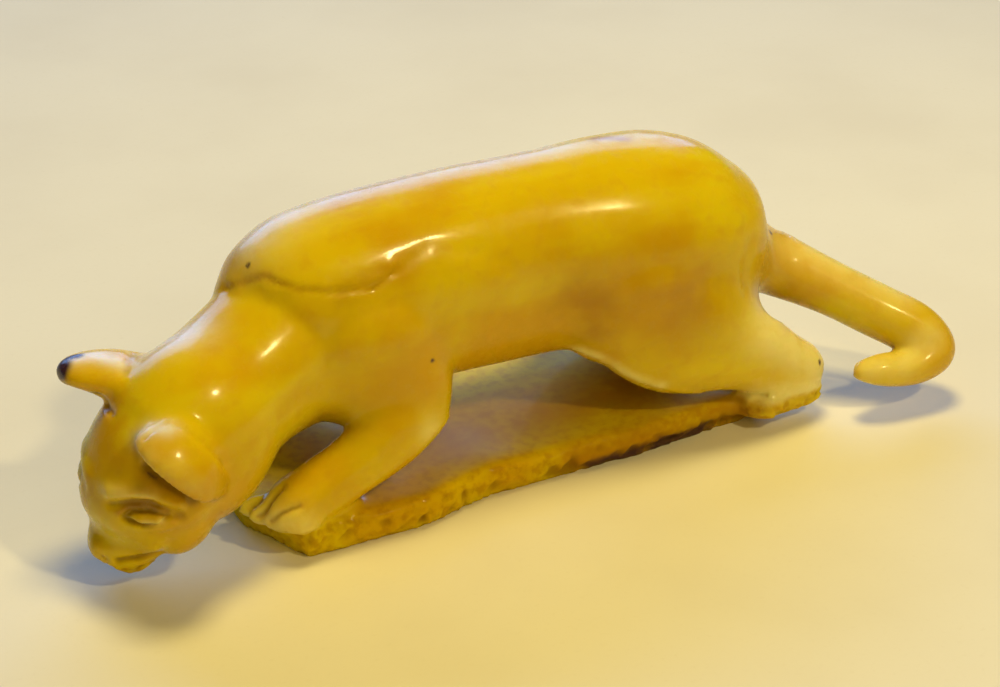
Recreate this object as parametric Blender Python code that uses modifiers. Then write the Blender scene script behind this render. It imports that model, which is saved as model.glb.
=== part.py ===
"""Bone cat figurine: a stalking cat and the strip of ground under it, carved from one piece of bone.

The cat faces -X and its tail points to +X. Its left side, the one on show, is -Y. The underside of
the ground lies at Z = 0 with the origin at its centre. Lengths are in metres.
"""

import math
from collections import namedtuple

import bmesh
import bpy
from mathutils import Matrix, Vector

# The cat: every place and thickness below is in hundredths of its length, brow to tail bend
CAT_LENGTH = 0.1000
# The ground: a thin strip of the same bone, wider under the forepaws, its underside rubbed flat
GROUND_AHEAD = 0.0322
GROUND_BEHIND = 0.0300
GROUND_FRONT_WIDTH = 0.0268
GROUND_WAIST_WIDTH = 0.0224
GROUND_REAR_WIDTH = 0.0192
GROUND_THICKNESS = 0.0034
GROUND_EDGE_ROUND = 0.0014
GROUND_EDGE_STEPS = 3
# How far the strip is carved below the table's level before its underside is rubbed flat
RUBBED_AWAY = 0.0005
# The strip's corners in plan, from its near front one round by the rear: the share of its length
# ahead or behind, the width that holds there and the share of that width's half
Corner = namedtuple("Corner", "along width aside")
GROUND_CORNERS = (
    Corner(-0.88, GROUND_FRONT_WIDTH, -1.00),
    Corner(-0.45, GROUND_FRONT_WIDTH, -1.00),
    Corner(-0.20, GROUND_WAIST_WIDTH, -1.00),
    Corner(0.40, GROUND_WAIST_WIDTH, -1.00),
    Corner(0.92, GROUND_REAR_WIDTH, -1.00),
    Corner(1.00, GROUND_REAR_WIDTH, -0.60),
    Corner(1.00, GROUND_REAR_WIDTH, 0.60),
    Corner(0.90, GROUND_REAR_WIDTH, 1.00),
    Corner(0.20, GROUND_WAIST_WIDTH, 1.00),
    Corner(-0.45, GROUND_FRONT_WIDTH, 0.94),
    Corner(-0.86, GROUND_FRONT_WIDTH, 0.90),
    Corner(-1.00, GROUND_FRONT_WIDTH, 0.40),
    Corner(-1.00, GROUND_FRONT_WIDTH, -0.34),
)
# How finely the carving is resolved, and how hard and how often polished, before it is faceted
CARVING_GRAIN = 0.00055
POLISH_STRENGTH = 0.5
POLISH_ROUNDS = 7
FACET_LIMIT = 7600

PART_NAME = "bone_cat_figurine"
BONE_COLOUR = (0.56, 0.27, 0.03, 1.0)
BONE_ROUGHNESS = 0.28

# What the across of a limb's sections keeps to as the limb bends; where it is UPRIGHT, their up does
LEVEL = (0.0, 1.0, 0.0)
UPRIGHT = (0.0, 0.0, 1.0)
FORWARD = (1.0, 0.0, 0.0)

UNIT = CAT_LENGTH / 100.0
# The strip thickness that the pose was drawn on, in hundredths, so that the cat rides on any other
DRAWN_GROUND = 3.4
LOFT_SIDES = 28
LOFT_STEPS = 5

# One section of a limb: its centre and its half sizes, across and up, in hundredths
Section = namedtuple("Section", "x y z across up")

TRUNK = (
    Section(-28.8, -1.6, 20.0, 3.6, 4.2),
    Section(-27.6, -1.0, 20.5, 6.4, 7.4),
    Section(-24.8, -0.4, 21.1, 8.3, 9.8),
    Section(-20.0, 0.0, 21.5, 9.3, 10.7),
    Section(-9.0, 0.0, 21.8, 9.5, 11.1),
    Section(3.0, 0.0, 21.6, 9.1, 11.3),
    Section(13.0, 0.0, 21.2, 10.4, 11.5),
    Section(19.0, 0.0, 20.5, 10.5, 11.3),
    Section(23.6, 0.0, 18.7, 9.8, 9.9),
    Section(27.0, 0.0, 16.9, 8.4, 8.4),
    Section(29.6, 0.0, 15.8, 6.4, 5.9),
    Section(32.2, -0.4, 15.0, 4.0, 3.8),
)
NECK = (
    Section(-17.0, -1.0, 19.6, 7.2, 9.6),
    Section(-25.0, -1.6, 18.4, 7.8, 9.0),
    Section(-32.0, -3.8, 16.5, 7.7, 8.0),
    Section(-36.6, -6.0, 14.6, 7.8, 9.2),
    Section(-40.0, -7.6, 12.2, 7.0, 8.6),
    Section(-43.0, -8.2, 10.6, 4.6, 5.6),
)
TAIL = (
    Section(27.0, 0.0, 17.6, 4.6, 4.6),
    Section(31.0, -0.6, 15.6, 3.9, 4.1),
    Section(35.0, -3.0, 13.6, 3.3, 3.5),
    Section(38.8, -6.4, 11.8, 3.0, 3.1),
    Section(42.8, -9.8, 9.7, 3.0, 3.1),
    Section(46.0, -12.2, 7.8, 3.0, 3.1),
    Section(47.0, -14.0, 6.0, 2.8, 2.6),
    Section(44.2, -14.8, 5.0, 2.3, 2.1),
    Section(39.8, -14.6, 5.5, 1.9, 1.8),
    Section(36.8, -14.2, 5.9, 1.0, 0.9),
)
NEAR_HIND_LEG = (
    Section(17.6, -3.2, 25.6, 2.2, 2.4),
    Section(17.4, -4.2, 23.2, 3.6, 6.2),
    Section(16.8, -5.0, 19.8, 4.8, 9.2),
    Section(17.0, -6.2, 16.2, 5.0, 10.0),
    Section(19.4, -7.8, 12.8, 4.7, 8.4),
    Section(25.2, -9.2, 9.4, 3.8, 5.2),
    Section(29.2, -9.8, 6.8, 3.3, 4.0),
    Section(32.4, -10.0, 5.0, 2.8, 3.3),
    Section(34.2, -10.0, 4.0, 1.8, 2.2),
)
NEAR_HIND_PAW = (
    Section(34.6, -10.0, 3.0, 1.4, 1.2),
    Section(33.0, -10.2, 2.8, 2.4, 1.8),
    Section(29.0, -10.3, 2.5, 2.6, 1.6),
    Section(26.2, -10.4, 2.5, 2.4, 1.5),
    Section(24.8, -10.4, 2.5, 1.3, 0.9),
)
NEAR_FORELEG = (
    Section(-20.0, -5.0, 21.0, 4.2, 7.0),
    Section(-16.0, -7.2, 17.0, 4.0, 6.2),
    Section(-13.8, -8.8, 13.0, 3.4, 4.2),
    Section(-16.8, -9.4, 10.5, 3.3, 4.3),
    Section(-21.0, -10.2, 8.2, 2.9, 3.5),
    Section(-25.6, -10.4, 6.2, 3.0, 3.2),
    Section(-29.0, -10.4, 4.9, 3.2, 2.7),
    Section(-31.2, -10.4, 4.3, 2.2, 1.6),
)

# The far legs are the near ones mirrored, this much further ahead
FAR_LEGS_AHEAD = 1.5

# Lumps on each side of the trunk: the haunch and the shoulder, which the legs grow out of
BODY_LUMPS = (
    ((14.8, -5.2, 17.6), (11.2, 6.2, 9.2)),
    ((-17.2, -5.0, 18.2), (9.6, 6.0, 9.0)),
)

# The head, in its own frame: x runs from the nape to the nose, y to its left, z to its crown
HEAD_PLACE = (-41.8, -7.0, 11.6)
TOWARDS_NOSE = (-0.70, -0.16, -0.70)
TOWARDS_LEFT = (0.15, -0.966, -0.20)
CRANIUM = (
    Section(-9.0, 0.0, 0.4, 4.2, 4.4),
    Section(-6.2, 0.0, 0.5, 6.9, 7.0),
    Section(-1.0, 0.0, 0.0, 7.9, 7.4),
    Section(3.2, 0.0, -0.4, 7.2, 6.2),
    Section(6.2, 0.0, -1.6, 5.4, 4.4),
    Section(8.0, 0.0, -2.2, 3.6, 2.8),
)
MUZZLE = (
    Section(2.0, 0.0, -2.2, 5.4, 5.0),
    Section(6.0, 0.0, -2.2, 4.6, 3.9),
    Section(9.4, 0.0, -2.3, 3.7, 3.1),
    Section(10.8, 0.0, -2.4, 2.4, 2.2),
)
# The near ear is laid back as a lobe down the side of the head, the far one stands out
NEAR_EAR = (
    Section(-1.6, 3.2, 6.9, 1.2, 0.9),
    Section(-2.2, 4.2, 7.5, 2.1, 1.3),
    Section(-2.5, 6.2, 7.0, 2.6, 1.5),
    Section(-2.2, 8.0, 5.3, 2.7, 1.5),
    Section(-2.0, 8.9, 3.2, 2.5, 1.4),
    Section(-1.7, 8.7, 1.4, 1.9, 1.2),
    Section(-1.5, 8.2, -0.1, 1.0, 0.8),
)
NEAR_EAR_TILT = -18.0
FAR_EAR = (
    Section(-7.0, -4.8, 2.4, 3.6, 2.2),
    Section(-5.8, -5.8, 5.2, 3.9, 2.2),
    Section(-4.2, -6.8, 7.8, 3.3, 2.0),
    Section(-2.8, -7.4, 9.8, 2.3, 1.6),
    Section(-2.3, -7.6, 10.6, 1.2, 0.9),
)
# Lumps on each side of the face: the brow, the eye under it and the cheek
FACE_LUMPS = (
    ((5.4, 3.4, 1.2), (1.6, 2.6, 1.2)),
    ((6.6, 4.0, -0.9), (1.0, 1.9, 0.9)),
    ((2.6, 4.2, -3.3), (4.2, 2.9, 3.1)),
)
# The toes: each paw's middle toe tip, and how much its outer toes fall back
Paw = namedtuple("Paw", "x y z slant")
PAWS = (
    Paw(-30.8, -10.4, 4.3, -1.1),
    Paw(-32.3, 10.4, 4.3, 1.1),
    Paw(26.2, -9.9, 2.7, -0.3),
    Paw(24.7, 9.9, 2.7, 0.3),
)
TOES = 4
TOE_SPACING = 1.75
TOE_ARC = 0.35
TOE_RADII = (2.0, 1.0, 1.3)
BLOB_SEGMENTS = 16


def scene_cleared():
    """Remove whatever the file opened with."""
    for old in list(bpy.data.objects):
        bpy.data.objects.remove(old, do_unlink=True)
    for old in list(bpy.data.collections):
        bpy.data.collections.remove(old)


def collection_named(name):
    """A new collection in the scene."""
    group = bpy.data.collections.new(name)
    bpy.context.scene.collection.children.link(group)
    return group


def bone_material():
    """The carving's one material."""
    bone = bpy.data.materials.new("yellowed_bone")
    bone.use_nodes = True
    shader = bone.node_tree.nodes["Principled BSDF"]
    shader.inputs["Base Color"].default_value = BONE_COLOUR
    shader.inputs["Roughness"].default_value = BONE_ROUGHNESS
    shader.inputs["Metallic"].default_value = 0.0
    return bone


def spline_value(before, start, end, after, share):
    """Point of the smooth curve through start and end, share of the way from one to the other."""
    square = share * share
    cube = square * share
    return 0.5 * (
        2.0 * start
        + (end - before) * share
        + (2.0 * before - 5.0 * start + 4.0 * end - after) * square
        + (3.0 * start - before - 3.0 * end + after) * cube
    )


def smooth_sections(sections, steps=LOFT_STEPS):
    """The sections with smooth ones put between them."""
    last = len(sections) - 1
    path = []
    for index in range(last):
        around = [sections[max(0, min(last, index + offset))] for offset in (-1, 0, 1, 2)]
        for step in range(steps):
            share = step / steps
            path.append(Section(*(spline_value(*values, share) for values in zip(*around))))
    path.append(sections[last])
    return path


def section_axes(along, kept, tilt):
    """The across and up directions of a section square to a limb that runs along.

    Across stays as near as it can to the direction kept or, where that is upright, up does. Both
    are then turned about the limb by the tilt, in degrees.
    """
    held = Vector(kept)
    held = (held - along * along.dot(held)).normalized()
    if kept == UPRIGHT:
        across, up = held.cross(along), held
    else:
        across, up = held, along.cross(held)
    turn = Matrix.Rotation(math.radians(tilt), 3, along)
    return turn @ across, turn @ up


def add_loft(carving, sections, place, kept=LEVEL, tilt=0.0):
    """Add a closed limb whose oval sections stand square to the line through their centres."""
    path = smooth_sections(sections)
    centres = [Vector(section[:3]) for section in path]
    rings = []
    for index, section in enumerate(path):
        ahead = centres[min(index + 1, len(path) - 1)]
        behind = centres[max(index - 1, 0)]
        across, up = section_axes((ahead - behind).normalized(), kept, tilt)
        ring = []
        for side in range(LOFT_SIDES):
            angle = 2.0 * math.pi * side / LOFT_SIDES
            point = (
                centres[index]
                + across * section.across * math.cos(angle)
                + up * section.up * math.sin(angle)
            )
            ring.append(carving.verts.new(place @ (point * UNIT)))
        rings.append(ring)
    for first, second in zip(rings, rings[1:]):
        for side in range(LOFT_SIDES):
            after = (side + 1) % LOFT_SIDES
            carving.faces.new((first[side], first[after], second[after], second[side]))
    carving.faces.new(reversed(rings[0]))
    carving.faces.new(rings[-1])


def mirrored(sections, forward=0.0):
    """The same limb on the cat's far side, moved forward or back."""
    return [section._replace(x=section.x + forward, y=-section.y) for section in sections]


def head_frame():
    """Where the head's own frame lies: nape to nose along its x, crown along its z."""
    nose = Vector(TOWARDS_NOSE).normalized()
    crown = nose.cross(Vector(TOWARDS_LEFT)).normalized()
    left = crown.cross(nose)
    turn = Matrix((nose, left, crown)).transposed().to_4x4()
    return Matrix.Translation(Vector(HEAD_PLACE) * UNIT) @ turn


def add_blob(carving, centre, radii, place):
    """Add a rounded lump, in hundredths, in the frame given."""
    shape = Matrix.Translation(Vector(centre) * UNIT) @ Matrix.Diagonal(Vector(radii) * UNIT).to_4x4()
    bmesh.ops.create_uvsphere(
        carving,
        u_segments=BLOB_SEGMENTS,
        v_segments=BLOB_SEGMENTS // 2,
        radius=1.0,
        matrix=place @ shape,
    )


def add_toes(carving, paw, place):
    """Add a paw's toes, side by side across its end, the middle ones ahead."""
    for toe in range(TOES):
        aside = toe - (TOES - 1) / 2.0
        back = paw.slant * aside + TOE_ARC * aside * aside
        centre = (paw.x + back, paw.y + TOE_SPACING * aside, paw.z)
        add_blob(carving, centre, TOE_RADII, place)


def ground_outline():
    """The strip of ground in plan, from its near front corner round by the rear."""
    corners = []
    for corner in GROUND_CORNERS:
        length = GROUND_BEHIND if corner.along > 0.0 else GROUND_AHEAD
        corners.append((corner.along * length, corner.aside * corner.width / 2.0))
    return corners


def add_ground(carving):
    """Add the strip of ground: its outline in plan, raised to its thickness, with rounded edges."""
    bottom = -RUBBED_AWAY
    corners = [carving.verts.new((x, y, bottom)) for x, y in ground_outline()]
    floor = carving.faces.new(reversed(corners))
    floor_edges = list(floor.edges)
    raised = bmesh.ops.extrude_face_region(carving, geom=[floor], use_keep_orig=True)["geom"]
    top = [item for item in raised if isinstance(item, bmesh.types.BMVert)]
    bmesh.ops.translate(carving, verts=top, vec=(0.0, 0.0, GROUND_THICKNESS - bottom))
    rims = floor_edges + [item for item in raised if isinstance(item, bmesh.types.BMEdge)]
    bmesh.ops.bevel(
        carving,
        geom=rims,
        offset=GROUND_EDGE_ROUND,
        segments=GROUND_EDGE_STEPS,
        profile=0.5,
        affect="EDGES",
        material=-1,
    )


def mesh_object(name, carving, group):
    """The finished mesh as an object of that name."""
    bmesh.ops.recalc_face_normals(carving, faces=carving.faces)
    mesh = bpy.data.meshes.new(name)
    carving.to_mesh(mesh)
    carving.free()
    made = bpy.data.objects.new(name, mesh)
    group.objects.link(made)
    return made


def carved_forms(group):
    """Every form of the carving, still overlapping, in one object."""
    carving = bmesh.new()
    standing = Matrix.Translation((0.0, 0.0, GROUND_THICKNESS - DRAWN_GROUND * UNIT))
    add_loft(carving, TRUNK, standing)
    add_loft(carving, NECK, standing)
    add_loft(carving, TAIL, standing, kept=UPRIGHT)
    for limb in (NEAR_HIND_LEG, NEAR_HIND_PAW, NEAR_FORELEG):
        add_loft(carving, limb, standing)
        add_loft(carving, mirrored(limb, forward=-FAR_LEGS_AHEAD), standing)
    head = standing @ head_frame()
    for form in (CRANIUM, MUZZLE, FAR_EAR):
        add_loft(carving, form, head)
    add_loft(carving, NEAR_EAR, head, kept=FORWARD, tilt=NEAR_EAR_TILT)
    for lumps, place in ((BODY_LUMPS, standing), (FACE_LUMPS, head)):
        for centre, radii in lumps:
            for side in (-1.0, 1.0):
                add_blob(carving, (centre[0], side * centre[1], centre[2]), radii, place)
    for paw in PAWS:
        add_toes(carving, paw, standing)
    add_ground(carving)
    return mesh_object("cat_on_ground", carving, group)


def table_cutter(group):
    """A block whose top is the table: what it takes away leaves the flat underside."""
    block = bmesh.new()
    bmesh.ops.create_cube(block, size=1.0)
    size = 2.0 * CAT_LENGTH
    bmesh.ops.scale(block, verts=block.verts, vec=(size, size, size))
    bmesh.ops.translate(block, verts=block.verts, vec=(0.0, 0.0, -size / 2.0))
    cutter = mesh_object("table_level", block, group)
    cutter.hide_render = True
    cutter.display_type = "WIRE"
    return cutter


def faces_so_far(shape):
    """How many triangles the object has with its modifiers."""
    bpy.context.view_layer.update()
    seen = shape.evaluated_get(bpy.context.evaluated_depsgraph_get())
    mesh = seen.to_mesh()
    mesh.calc_loop_triangles()
    count = len(mesh.loop_triangles)
    seen.to_mesh_clear()
    return count


def fuse(shape, cutter):
    """Make the overlapping forms one skin, polish it, facet it and cut it flat below."""
    skin = shape.modifiers.new("one_skin", "REMESH")
    skin.mode = "VOXEL"
    skin.voxel_size = CARVING_GRAIN
    polish = shape.modifiers.new("polish", "SMOOTH")
    polish.factor = POLISH_STRENGTH
    polish.iterations = POLISH_ROUNDS
    triangles = faces_so_far(shape)
    facets = shape.modifiers.new("facets", "DECIMATE")
    facets.ratio = min(1.0, FACET_LIMIT / triangles)
    flat = shape.modifiers.new("underside", "BOOLEAN")
    flat.operation = "DIFFERENCE"
    flat.solver = "EXACT"
    flat.object = cutter


def main():
    scene_cleared()
    parts = collection_named(PART_NAME)
    cutters = collection_named("cutters")
    figurine = carved_forms(parts)
    figurine.data.materials.append(bone_material())
    fuse(figurine, table_cutter(cutters))


main()
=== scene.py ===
"""Bone cat figurine: the finished look of the carving, on a pale table in soft daylight and lamplight.

The cat faces -X, its left side is -Y and the table is at Z = 0. Forms are given in hundredths of the
cat's length, which are close to millimetres, and made metres as the finished mesh is written.
"""

from __future__ import annotations

import logging
import math
from dataclasses import dataclass, field, replace
from enum import Enum

import bmesh
import bpy
import numpy as np
from mathutils import Matrix, Vector, noise
from mathutils.bvhtree import BVHTree


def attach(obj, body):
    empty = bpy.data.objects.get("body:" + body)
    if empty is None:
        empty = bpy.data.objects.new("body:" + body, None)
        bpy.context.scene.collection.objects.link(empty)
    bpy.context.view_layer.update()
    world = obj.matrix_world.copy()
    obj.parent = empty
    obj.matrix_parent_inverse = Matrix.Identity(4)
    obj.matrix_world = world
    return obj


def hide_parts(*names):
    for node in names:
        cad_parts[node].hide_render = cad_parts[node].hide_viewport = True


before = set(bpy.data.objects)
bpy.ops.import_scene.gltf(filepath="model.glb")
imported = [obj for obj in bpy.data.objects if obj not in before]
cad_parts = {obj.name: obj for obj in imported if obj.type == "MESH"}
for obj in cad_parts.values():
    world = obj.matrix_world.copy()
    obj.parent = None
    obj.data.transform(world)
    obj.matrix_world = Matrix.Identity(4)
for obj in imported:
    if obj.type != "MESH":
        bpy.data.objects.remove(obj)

LOG = logging.getLogger("bone_cat")

CAT_LENGTH = 0.1000
UNIT = CAT_LENGTH / 100.0
NODE = "cat_on_ground"
ROOT = "root"

Point = tuple[float, float, float]
Colour = tuple[float, float, float]


class Sway(Enum):
    """Which way a limb's sections keep to as it bends: their up or their across."""

    UPRIGHT = (0.0, 0.0, 1.0)
    LEVEL = (0.0, 1.0, 0.0)
    FORWARD = (1.0, 0.0, 0.0)


@dataclass(frozen=True)
class Section:
    """An oval section of a limb: its centre and its half sizes, across and up."""

    x: float
    y: float
    z: float
    across: float
    up: float

    def numbers(self) -> tuple[float, ...]:
        """The section's five numbers."""
        return (self.x, self.y, self.z, self.across, self.up)

    def mirrored(self, ahead: float = 0.0) -> Section:
        """The same section on the cat's other side, moved ahead."""
        return Section(self.x - ahead, -self.y, self.z, self.across, self.up)


@dataclass(frozen=True)
class Limb:
    """A closed limb of oval sections, square to the line through their centres."""

    sections: tuple[Section, ...]
    sway: Sway = Sway.LEVEL
    tilt: float = 0.0
    sides: int = 36
    steps: int = 7

    def mirrored(self, ahead: float = 0.0) -> Limb:
        """The same limb on the cat's other side, moved ahead."""
        return replace(self, sections=tuple(s.mirrored(ahead) for s in self.sections), tilt=-self.tilt)

    def path(self) -> list[Section]:
        """The sections with smooth ones put between them."""
        last = len(self.sections) - 1
        path = []
        for index in range(last):
            around = [self.sections[max(0, min(last, index + offset))].numbers() for offset in (-1, 0, 1, 2)]
            for step in range(self.steps):
                path.append(Section(*(self.between(*values, step / self.steps) for values in zip(*around))))
        path.append(self.sections[last])
        return path

    @staticmethod
    def between(before: float, start: float, end: float, after: float, share: float) -> float:
        """A value on the smooth curve through start and end.

        Args:
            before: the value ahead of start.
            start: where the stretch starts.
            end: where the stretch ends.
            after: the value past end.
            share: how far along the stretch, from 0 to 1.

        Returns:
            The value at that share.
        """
        square = share * share
        cube = square * share
        return 0.5 * (
            2.0 * start
            + (end - before) * share
            + (2.0 * before - 5.0 * start + 4.0 * end - after) * square
            + (3.0 * start - before - 3.0 * end + after) * cube
        )

    def axes(self, along: Vector) -> tuple[Vector, Vector]:
        """The across and up directions of a section.

        Args:
            along: the limb's direction there.

        Returns:
            The two directions, square to it and to each other.
        """
        kept = Vector(self.sway.value)
        kept = (kept - along * along.dot(kept)).normalized()
        if self.sway is Sway.UPRIGHT:
            across, up = kept.cross(along), kept
        else:
            across, up = kept, along.cross(kept)
        turn = Matrix.Rotation(math.radians(self.tilt), 3, along)
        return turn @ across, turn @ up

    def places(self, place: Matrix) -> list[Matrix]:
        """Where each section's unit circle goes.

        Args:
            place: the frame that the limb is given in.

        Returns:
            One matrix for each section of the smooth path.
        """
        path = self.path()
        centres = [Vector((s.x, s.y, s.z)) for s in path]
        found = []
        for index, section in enumerate(path):
            ahead = centres[min(index + 1, len(path) - 1)]
            behind = centres[max(index - 1, 0)]
            along = (ahead - behind).normalized()
            across, up = self.axes(along)
            turn = Matrix((across * section.across, up * section.up, along)).transposed().to_4x4()
            found.append(place @ Matrix.Translation(centres[index]) @ turn)
        return found

    def build(self, carving: bmesh.types.BMesh, place: Matrix) -> None:
        """Draw the limb out of its first section, one section after the other.

        Args:
            carving: the mesh to add it to.
            place: the frame that the limb is given in.
        """
        places = self.places(place)
        start = bmesh.ops.create_circle(
            carving, cap_ends=True, segments=self.sides, radius=1.0, matrix=places[0]
        )["verts"]
        face = start[0].link_faces[0]
        for index, (before, after) in enumerate(zip(places, places[1:])):
            made = bmesh.ops.extrude_face_region(carving, geom=[face], use_keep_orig=index == 0)["geom"]
            face = next(item for item in made if isinstance(item, bmesh.types.BMFace))
            bmesh.ops.transform(carving, matrix=after @ before.inverted(), verts=face.verts[:])


@dataclass(frozen=True)
class Lump:
    """A rounded lump: its centre and its half sizes."""

    centre: Point
    radii: Point

    def mirrored(self) -> Lump:
        """The same lump on the other side."""
        x, y, z = self.centre
        return Lump((x, -y, z), self.radii)

    def build(self, carving: bmesh.types.BMesh, place: Matrix) -> None:
        """Add the lump.

        Args:
            carving: the mesh to add it to.
            place: the frame that the lump is given in.
        """
        shape = Matrix.Translation(self.centre) @ Matrix.Diagonal(Vector(self.radii)).to_4x4()
        bmesh.ops.create_uvsphere(carving, u_segments=24, v_segments=14, radius=1.0, matrix=place @ shape)


@dataclass(frozen=True)
class Paw:
    """A paw's toes, side by side across its end, the middle ones ahead."""

    tip: Point
    slant: float
    toes: int = 4
    spacing: float = 1.75
    arc: float = 0.35
    radii: Point = (2.0, 1.0, 1.3)
    groove: float = 0.4

    def build(self, carving: bmesh.types.BMesh, place: Matrix) -> None:
        """Add the toes.

        Args:
            carving: the mesh to add them to.
            place: the frame that the paw is given in.
        """
        for toe in range(self.toes):
            aside = toe - (self.toes - 1) / 2.0
            back = self.slant * aside + self.arc * aside * aside
            centre = (self.tip[0] + back, self.tip[1] + self.spacing * aside, self.tip[2])
            Lump(centre, self.radii).build(carving, place)

    def gaps(self) -> list[Mark]:
        """The grooves between the toes, running back over the paw."""
        x, y, z = self.tip
        return [
            Mark(((x - 1.8, aside, z + 0.3), (x, aside, z + 1.2), (x + 2.2, aside, z + 1.6)), 0.42, -self.groove)
            for aside in (y + self.spacing * (gap + 1 - self.toes / 2.0) for gap in range(self.toes - 1))
        ]


@dataclass(frozen=True)
class Body:
    """Trunk, neck and tail."""

    trunk: Limb = Limb(
        (
            Section(-28.8, -1.6, 20.0, 3.6, 4.2),
            Section(-27.6, -1.0, 20.5, 6.4, 7.4),
            Section(-24.8, -0.4, 21.1, 8.3, 9.8),
            Section(-20.0, 0.0, 21.5, 9.3, 10.7),
            Section(-9.0, 0.0, 21.8, 9.5, 11.1),
            Section(3.0, 0.0, 21.6, 9.1, 11.3),
            Section(13.0, 0.0, 21.2, 10.4, 11.5),
            Section(19.0, 0.0, 20.5, 10.5, 11.3),
            Section(23.6, 0.0, 18.7, 9.8, 9.9),
            Section(27.0, 0.0, 16.9, 8.4, 8.4),
            Section(29.6, 0.0, 15.8, 6.4, 5.9),
            Section(32.2, -0.4, 15.0, 4.0, 3.8),
        )
    )
    neck: Limb = Limb(
        (
            Section(-17.0, -1.0, 19.6, 7.2, 9.6),
            Section(-25.0, -1.6, 18.4, 7.8, 9.0),
            Section(-32.0, -3.8, 16.5, 7.7, 8.0),
            Section(-36.6, -6.0, 14.6, 7.8, 9.2),
            Section(-40.0, -7.6, 12.2, 7.0, 8.6),
            Section(-43.0, -8.2, 10.6, 4.6, 5.6),
        )
    )
    tail: Limb = Limb(
        (
            Section(27.0, 0.0, 17.6, 4.6, 4.6),
            Section(31.0, -0.6, 15.6, 3.9, 4.1),
            Section(35.0, -3.0, 13.6, 3.3, 3.5),
            Section(38.8, -6.4, 11.8, 3.0, 3.1),
            Section(42.8, -9.8, 9.7, 3.0, 3.1),
            Section(46.0, -12.2, 7.8, 3.0, 3.1),
            Section(47.0, -14.0, 6.0, 2.8, 2.6),
            Section(44.2, -14.8, 5.0, 2.3, 2.1),
            Section(39.8, -14.6, 5.5, 1.9, 1.8),
            Section(36.8, -14.2, 5.9, 1.0, 0.9),
        ),
        sway=Sway.UPRIGHT,
    )
    masses: tuple[Lump, ...] = (
        Lump((14.8, -5.2, 17.6), (11.2, 6.2, 9.2)),
        Lump((-17.2, -5.0, 18.2), (9.6, 6.0, 9.0)),
    )

    def build(self, carving: bmesh.types.BMesh) -> None:
        """Add trunk, neck, tail, haunches and shoulders to the carving."""
        for limb in (self.trunk, self.neck, self.tail):
            limb.build(carving, Matrix.Identity(4))
        for mass in self.masses:
            mass.build(carving, Matrix.Identity(4))
            mass.mirrored().build(carving, Matrix.Identity(4))


@dataclass(frozen=True)
class Legs:
    """The four legs and their paws: the far ones are the near ones mirrored, a little ahead."""

    hind_leg: Limb = Limb(
        (
            Section(17.6, -3.2, 25.6, 2.2, 2.4),
            Section(17.4, -4.2, 23.2, 3.6, 6.2),
            Section(16.8, -5.0, 19.8, 4.8, 9.2),
            Section(17.0, -6.2, 16.2, 5.0, 10.0),
            Section(19.4, -7.8, 12.8, 4.7, 8.4),
            Section(25.2, -9.2, 9.4, 3.8, 5.2),
            Section(29.2, -9.8, 6.8, 3.3, 4.0),
            Section(32.4, -10.0, 5.0, 2.8, 3.3),
            Section(34.2, -10.0, 4.0, 1.8, 2.2),
        )
    )
    hind_paw: Limb = Limb(
        (
            Section(34.6, -10.0, 3.0, 1.4, 1.2),
            Section(33.0, -10.2, 2.8, 2.4, 1.8),
            Section(29.0, -10.3, 2.5, 2.6, 1.6),
            Section(26.2, -10.4, 2.5, 2.4, 1.5),
            Section(24.8, -10.4, 2.5, 1.3, 0.9),
        )
    )
    foreleg: Limb = Limb(
        (
            Section(-20.0, -5.0, 21.0, 4.2, 7.0),
            Section(-16.0, -7.2, 17.0, 4.0, 6.2),
            Section(-13.8, -8.8, 13.0, 3.4, 4.2),
            Section(-16.8, -9.4, 10.5, 3.3, 4.3),
            Section(-21.0, -10.2, 8.2, 2.9, 3.5),
            Section(-25.6, -10.4, 6.2, 3.0, 3.2),
            Section(-29.0, -10.4, 4.9, 3.2, 2.7),
            Section(-31.2, -10.4, 4.3, 2.2, 1.6),
        )
    )
    far_ahead: float = 1.5
    paws: tuple[Paw, ...] = (
        Paw((-30.8, -10.4, 4.3), -1.1),
        Paw((-32.3, 10.4, 4.3), 1.1),
        Paw((26.2, -9.9, 2.7), -0.3, groove=0.16),
        Paw((24.7, 9.9, 2.7), 0.3, groove=0.16),
    )

    def toe_gaps(self) -> list[Mark]:
        """The grooves between the toes of every paw."""
        return [gap for paw in self.paws for gap in paw.gaps()]

    def build(self, carving: bmesh.types.BMesh) -> None:
        """Add the legs and paws to the carving."""
        for limb in (self.hind_leg, self.hind_paw, self.foreleg):
            limb.build(carving, Matrix.Identity(4))
            limb.mirrored(self.far_ahead).build(carving, Matrix.Identity(4))
        for paw in self.paws:
            paw.build(carving, Matrix.Identity(4))


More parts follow.
